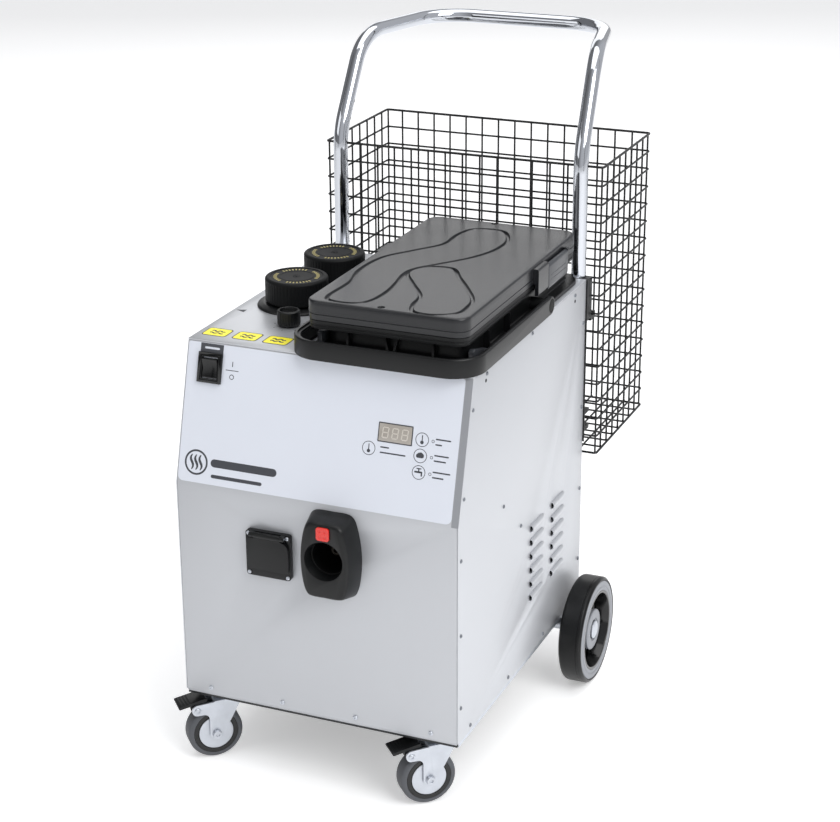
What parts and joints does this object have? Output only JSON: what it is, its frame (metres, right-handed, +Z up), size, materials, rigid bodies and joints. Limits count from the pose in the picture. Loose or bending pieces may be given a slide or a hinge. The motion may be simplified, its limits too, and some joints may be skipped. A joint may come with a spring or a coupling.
{
  "type": "steam cleaner",
  "caption": "Commercial steam cleaner: steel cabinet on casters and rear wheels, lift-out vacuum tank, filler caps, hose socket, push handle and wire accessory basket.",
  "frame": {"origin": "middle of the machine's footprint, on the floor", "axes": "+Z up, -Y out of the front panel with the hose socket, +X towards the recovery tank's side"},
  "size_m": [0.47, 0.7539, 0.8699],
  "materials": {
    "cabinet_steel": "satin brushed stainless steel sheet",
    "tray_steel": "dark powder coat",
    "zinc": "bright zinc plated pressed steel",
    "chrome": "polished chrome plate",
    "black_plastic": "black moulded plastic, fine texture",
    "lid_plastic": "charcoal moulded plastic, satin",
    "red_plastic": "red moulded plastic, gloss",
    "grey_plastic": "mid grey moulded plastic",
    "display_plastic": "grey-green display window",
    "natural_plastic": "natural polyethylene",
    "board": "printed circuit board",
    "black_wire": "black plastic-coated steel wire",
    "tyre_rubber": "black solid rubber",
    "caster_rubber": "grey non-marking rubber",
    "seal_rubber": "black seal rubber",
    "brass": "machined brass",
    "facia_film": "pale satin film with plain printed marks",
    "label_film": "blank yellow film"
  },
  "bodies": {
    "cabinet": {"front_panel": "cabinet_steel", "left_side_panel": "cabinet_steel", "right_side_panel": "cabinet_steel", "rear_panel": "cabinet_steel", "top_panel": "cabinet_steel", "boiler": "cabinet_steel", "base_tray": "tray_steel", "axle_bracket_left": "tray_steel", "axle_bracket_right": "tray_steel", "outlet_hinge_pin": "zinc", "caster_plate_left": "zinc", "caster_plate_right": "zinc", "push_handle": "chrome", "rear_axle": "chrome", "rocker_bezel": "black_plastic", "cable_gland": "black_plastic", "outlet_frame": "black_plastic", "hose_socket": "black_plastic", "water_filler_neck": "black_plastic", "detergent_filler_neck": "black_plastic", "handle_rail_left": "black_plastic", "handle_rail_right": "black_plastic", "water_pump": "grey_plastic", "display_window": "display_plastic", "water_tank": "natural_plastic", "detergent_tank": "natural_plastic", "control_board": "board", "steam_coupling": "brass", "detergent_valve": "brass"},
    "rocker": {"rocker_switch": "black_plastic"},
    "outlet_flap": {"outlet_lid": "black_plastic"},
    "release_button": {"hose_release_button": "red_plastic"},
    "water_cap_lift": {"water_cap_gasket": "seal_rubber"},
    "water_cap": {"water_cap": "black_plastic"},
    "detergent_cap_lift": {"detergent_cap_gasket": "seal_rubber"},
    "detergent_cap": {"detergent_cap": "black_plastic"},
    "knob": {"control_knob": "black_plastic"},
    "tank": {"recovery_tank": "black_plastic"},
    "head": {"vacuum_head": "lid_plastic", "vacuum_motor": "grey_plastic"},
    "latch_left": {"tank_latch_left": "lid_plastic"},
    "latch_right": {"tank_latch_right": "lid_plastic"},
    "carry_handle": {"tank_carry_handle": "lid_plastic"},
    "basket": {"basket_front": "black_wire", "basket_back": "black_wire", "basket_left": "black_wire", "basket_right": "black_wire", "basket_floor": "black_wire"},
    "rear_wheel_left": {"rear_tyre_left": "tyre_rubber", "rear_rim_left": "grey_plastic"},
    "rear_wheel_right": {"rear_tyre_right": "tyre_rubber", "rear_rim_right": "grey_plastic"},
    "caster_left": {"caster_fork_left": "zinc", "caster_axle_left": "zinc"},
    "caster_wheel_left": {"caster_wheel_left": "caster_rubber"},
    "pedal_left": {"caster_pedal_left": "black_plastic"},
    "caster_right": {"caster_fork_right": "zinc", "caster_axle_right": "zinc"},
    "caster_wheel_right": {"caster_wheel_right": "caster_rubber"},
    "pedal_right": {"caster_pedal_right": "black_plastic"}
  },
  "joints": [
    {"name": "rocker_tilt", "type": "hinge", "parent": "cabinet", "child": "rocker", "pos_m": [-0.1555, -0.30475, 0.53595], "axis": [1, 0, 0], "range_deg": [-16, 0]},
    {"name": "outlet_flap_hinge", "type": "hinge", "parent": "cabinet", "child": "outlet_flap", "pos_m": [-0.0605, -0.356, 0.345], "axis": [-1, 0, 0], "range_deg": [0, 105]},
    {"name": "release_button_press", "type": "slide", "parent": "cabinet", "child": "release_button", "axis": [0, 1, 0], "range_m": [0, 0.004], "stiffness_N_per_m": 300, "springref_m": -0.003},
    {"name": "water_cap_rise", "type": "slide", "parent": "cabinet", "child": "water_cap_lift", "axis": [0, 0, 1], "range_m": [0, 0.0091]},
    {"name": "water_cap_turn", "type": "hinge", "parent": "water_cap_lift", "child": "water_cap", "pos_m": [-0.123, -0.012, 0.594], "axis": [0, 0, 1], "range_deg": [0, 540]},
    {"name": "detergent_cap_rise", "type": "slide", "parent": "cabinet", "child": "detergent_cap_lift", "axis": [0, 0, 1], "range_m": [0, 0.0091]},
    {"name": "detergent_cap_turn", "type": "hinge", "parent": "detergent_cap_lift", "child": "detergent_cap", "pos_m": [-0.123, -0.127, 0.594], "axis": [0, 0, 1], "range_deg": [0, 540]},
    {"name": "knob_turn", "type": "hinge", "parent": "cabinet", "child": "knob", "pos_m": [-0.095, -0.208, 0.58], "axis": [0, 0, 1], "range_deg": [0, 270]},
    {"name": "tank_lift", "type": "slide", "parent": "cabinet", "child": "tank", "axis": [0, 0, 1], "range_m": [0, 0.25]},
    {"name": "head_lift", "type": "slide", "parent": "tank", "child": "head", "axis": [0, 0, 1], "range_m": [0, 0.13]},
    {"name": "latch_right_swing", "type": "hinge", "parent": "head", "child": "latch_right", "pos_m": [0.181, 0.014, 0.623], "axis": [0, -1, 0], "range_deg": [0, 60]},
    {"name": "latch_left_swing", "type": "hinge", "parent": "head", "child": "latch_left", "pos_m": [-0.038, 0.014, 0.623], "axis": [0, 1, 0], "range_deg": [0, 60]},
    {"name": "carry_handle_swing", "type": "hinge", "parent": "tank", "child": "carry_handle", "pos_m": [0.075, -0.0455, 0.5804], "axis": [-1, 0, 0], "range_deg": [0, 92]},
    {"name": "basket_unhook", "type": "slide", "parent": "cabinet", "child": "basket", "axis": [0, 0, 1], "range_m": [0, 0.005]},
    {"name": "rear_wheel_left_spin", "type": "hinge", "parent": "cabinet", "child": "rear_wheel_left", "pos_m": [-0.2175, 0.0645, 0.075], "axis": [1, 0, 0], "continuous": true},
    {"name": "caster_left_swivel", "type": "hinge", "parent": "cabinet", "child": "caster_left", "pos_m": [-0.151, -0.3075, 0.089], "axis": [0, 0, 1], "continuous": true},
    {"name": "caster_wheel_left_spin", "type": "hinge", "parent": "caster_left", "child": "caster_wheel_left", "pos_m": [-0.16563, -0.32114, 0.0365], "axis": [0.682, -0.7314, 0], "continuous": true},
    {"name": "pedal_left_press", "type": "hinge", "parent": "caster_left", "child": "pedal_left", "pos_m": [-0.18355, -0.33785, 0.074], "axis": [0.682, -0.7314, 0], "range_deg": [0, 12]},
    {"name": "rear_wheel_right_spin", "type": "hinge", "parent": "cabinet", "child": "rear_wheel_right", "pos_m": [0.2175, 0.0645, 0.075], "axis": [1, 0, 0], "continuous": true},
    {"name": "caster_right_swivel", "type": "hinge", "parent": "cabinet", "child": "caster_right", "pos_m": [0.151, -0.3075, 0.089], "axis": [0, 0, 1], "continuous": true},
    {"name": "caster_wheel_right_spin", "type": "hinge", "parent": "caster_right", "child": "caster_wheel_right", "pos_m": [0.13637, -0.32114, 0.0365], "axis": [0.682, -0.7314, 0], "continuous": true},
    {"name": "pedal_right_press", "type": "hinge", "parent": "caster_right", "child": "pedal_right", "pos_m": [0.11845, -0.33785, 0.074], "axis": [0.682, -0.7314, 0], "range_deg": [0, 12]}
  ],
  "couplings": [
    {"joint": "water_cap_rise", "follows": "water_cap_turn", "m_per_rad": 0.00095493},
    {"joint": "detergent_cap_rise", "follows": "detergent_cap_turn", "m_per_rad": 0.00095493}
  ]
}
